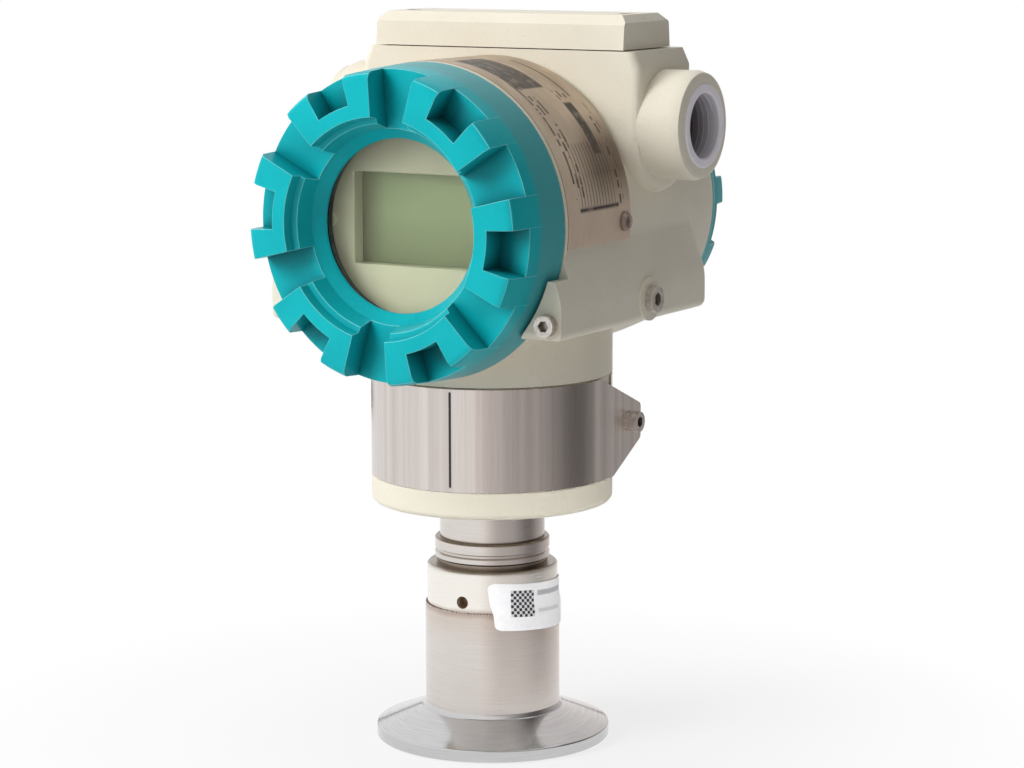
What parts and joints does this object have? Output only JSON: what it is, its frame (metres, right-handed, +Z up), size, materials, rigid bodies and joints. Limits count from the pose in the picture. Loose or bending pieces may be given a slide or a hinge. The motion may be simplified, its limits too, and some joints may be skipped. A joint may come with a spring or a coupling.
{
  "type": "hygienic pressure transmitter",
  "caption": "Hygienic pressure transmitter with a die-cast two-chamber head, lugged window cap, display, key cover, clamped tag band and a clamp ferrule with flush diaphragm.",
  "frame": {"origin": "centre of the ferrule's sealing face, on the stem axis", "axes": "+Z up along the stem, -Y towards the window cap, +X towards the open cable entry"},
  "size_m": [0.1131, 0.121, 0.1977],
  "materials": {
    "polished_steel": "fine turned, slightly warm",
    "diaphragm_steel": "bright satin",
    "beige_paint": "satin powder coat",
    "teal_paint": "satin powder coat",
    "screw_steel": "bright",
    "band_steel": "brushed round the band",
    "plate_steel": "etched brownish",
    "label_paper": "white paper with a clear film",
    "black_rubber": "matt",
    "board_green": "solder mask",
    "black_plastic": "matt",
    "lcd_glass": "grey-green reflective display",
    "bezel_plastic": "light moulded",
    "window_glass": "clear",
    "bush_plastic": "pale lilac-grey moulded",
    "brass": "plain"
  },
  "bodies": {
    "cell": {"clamp_ferrule": "polished_steel", "diaphragm": "diaphragm_steel", "process_adapter": "polished_steel", "fill_plug": "polished_steel", "cell_housing": "beige_paint", "sensor_capsule": "polished_steel", "sensor_board": "board_green", "tag_band": "band_steel", "tag_band_screw": "screw_steel", "tag_band_nut": "screw_steel", "stem_label": "label_paper"},
    "head": {"housing": "beige_paint", "swivel_seal": "black_rubber", "hinge_pin": "screw_steel", "nameplate": "plate_steel", "nameplate_screw_right": "screw_steel", "nameplate_screw_left": "screw_steel", "electronics_module": "black_plastic", "display_board": "board_green", "lcd_panel": "lcd_glass", "display_bezel": "bezel_plastic", "display_screw_left": "screw_steel", "display_screw_right": "screw_steel", "terminal_block": "black_plastic", "terminal_screw_1": "brass", "terminal_screw_2": "brass", "terminal_screw_3": "brass", "terminal_screw_4": "brass", "inner_earth_screw": "screw_steel", "entry_bush": "bush_plastic", "blanking_plug": "beige_paint", "front_lock_screw": "screw_steel", "rear_lock_screw": "screw_steel", "swivel_lock_screw": "screw_steel", "earth_screw": "screw_steel", "earth_clamp": "screw_steel"},
    "front_seal": {"front_cap_seal": "black_rubber"},
    "front_cap": {"front_cap": "teal_paint", "window_glass": "window_glass", "glass_retainer": "black_plastic"},
    "rear_seal": {"rear_cap_seal": "black_rubber"},
    "rear_cap": {"rear_cap": "teal_paint"},
    "key_cover": {"key_cover": "beige_paint", "key_cover_screw_left": "screw_steel", "key_cover_screw_right": "screw_steel"},
    "key_mode": {"key_mode": "black_plastic"},
    "key_up": {"key_up": "black_plastic"},
    "key_down": {"key_down": "black_plastic"}
  },
  "joints": [
    {"name": "head_swivel", "type": "hinge", "parent": "cell", "child": "head", "pos_m": [0, 0, 0.1012], "axis": [0, 0, 1], "range_deg": [-180, 180]},
    {"name": "front_cap_advance", "type": "slide", "parent": "head", "child": "front_seal", "axis": [0, -1, 0], "range_m": [0, 0.0101]},
    {"name": "front_cap_turn", "type": "hinge", "parent": "front_seal", "child": "front_cap", "pos_m": [0, -0.045, 0.1449], "axis": [0, -1, 0], "range_deg": [0, 1800]},
    {"name": "rear_cap_advance", "type": "slide", "parent": "head", "child": "rear_seal", "axis": [0, 1, 0], "range_m": [0, 0.0101]},
    {"name": "rear_cap_turn", "type": "hinge", "parent": "rear_seal", "child": "rear_cap", "pos_m": [0, 0.058, 0.1449], "axis": [0, 1, 0], "range_deg": [0, 1800]},
    {"name": "key_cover_hinge", "type": "hinge", "parent": "head", "child": "key_cover", "pos_m": [0, 0.0315, 0.1902], "axis": [-1, 0, 0], "range_deg": [0, 100]},
    {"name": "key_mode_press", "type": "slide", "parent": "head", "child": "key_mode", "axis": [0, 0, -1], "range_m": [0, 0.001], "stiffness_N_per_m": 400, "springref_m": -0.0005},
    {"name": "key_up_press", "type": "slide", "parent": "head", "child": "key_up", "axis": [0, 0, -1], "range_m": [0, 0.001], "stiffness_N_per_m": 400, "springref_m": -0.0005},
    {"name": "key_down_press", "type": "slide", "parent": "head", "child": "key_down", "axis": [0, 0, -1], "range_m": [0, 0.001], "stiffness_N_per_m": 400, "springref_m": -0.0005}
  ],
  "couplings": [
    {"joint": "front_cap_advance", "follows": "front_cap_turn", "m_per_rad": 0.00031831},
    {"joint": "rear_cap_advance", "follows": "rear_cap_turn", "m_per_rad": 0.00031831}
  ]
}
